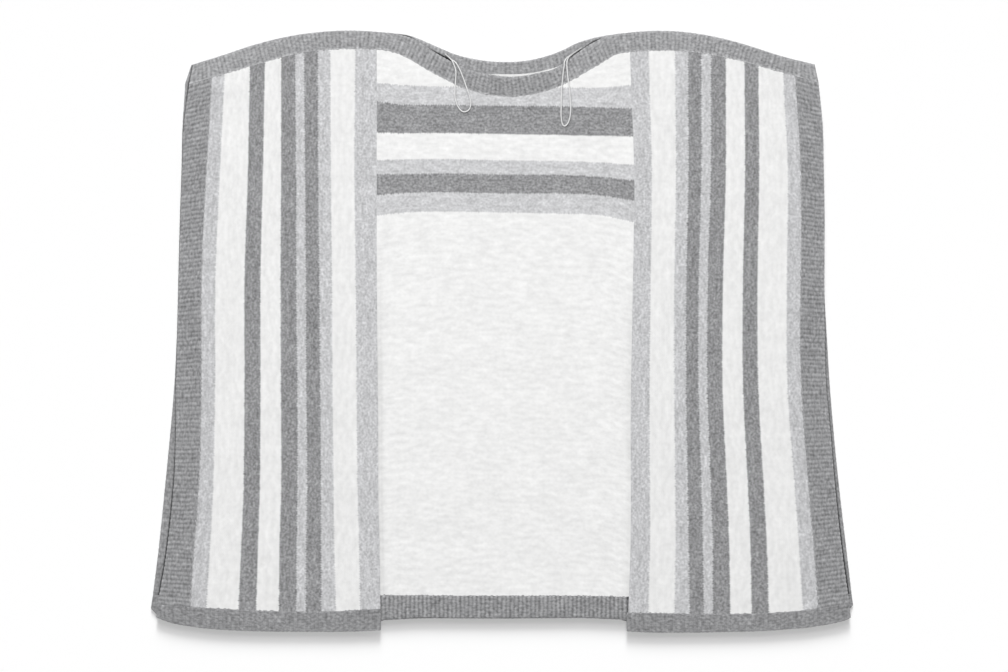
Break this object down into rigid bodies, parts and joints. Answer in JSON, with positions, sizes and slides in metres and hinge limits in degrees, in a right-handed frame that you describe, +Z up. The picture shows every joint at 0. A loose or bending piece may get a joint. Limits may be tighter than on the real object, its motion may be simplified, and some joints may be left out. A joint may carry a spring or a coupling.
{
  "type": "open-sided striped knit poncho, laid flat",
  "caption": "Open-sided knitted poncho laid flat, off-white with grey melange stripes, ribbed neck, side and hem bands, and hanger loops.",
  "frame": {"origin": "on the surface that the poncho lies on, under the middle of its outline", "axes": "+Z up off the surface, +Y from the hem to the neck, +X to the right as the front is seen from above"},
  "size_m": [0.808, 0.6921, 0.0084],
  "materials": {
    "off_white_knit": "soft matte knit",
    "striped_side_knit": "soft matte knit with stripes of dark grey, light grey and off-white",
    "grey_melange_rib": "matte heather rib knit",
    "grey_melange_hem": "matte heather knit",
    "pale_grey_cord": "smooth thin cord"
  },
  "bodies": {
    "root": {"back_panel": "off_white_knit", "back_neck_band": "grey_melange_rib", "back_left_side_band": "grey_melange_rib", "back_right_side_band": "grey_melange_rib", "back_hem_band": "grey_melange_hem", "front_centre_panel": "off_white_knit", "front_left_panel": "striped_side_knit", "front_right_panel": "striped_side_knit", "front_neck_band": "grey_melange_rib", "front_left_side_band": "grey_melange_rib", "front_right_side_band": "grey_melange_rib", "front_centre_hem_band": "grey_melange_rib", "front_left_hem_band": "grey_melange_hem", "front_right_hem_band": "grey_melange_hem", "hanger_loop_left": "pale_grey_cord", "hanger_loop_right": "pale_grey_cord"}
  },
  "joints": []
}
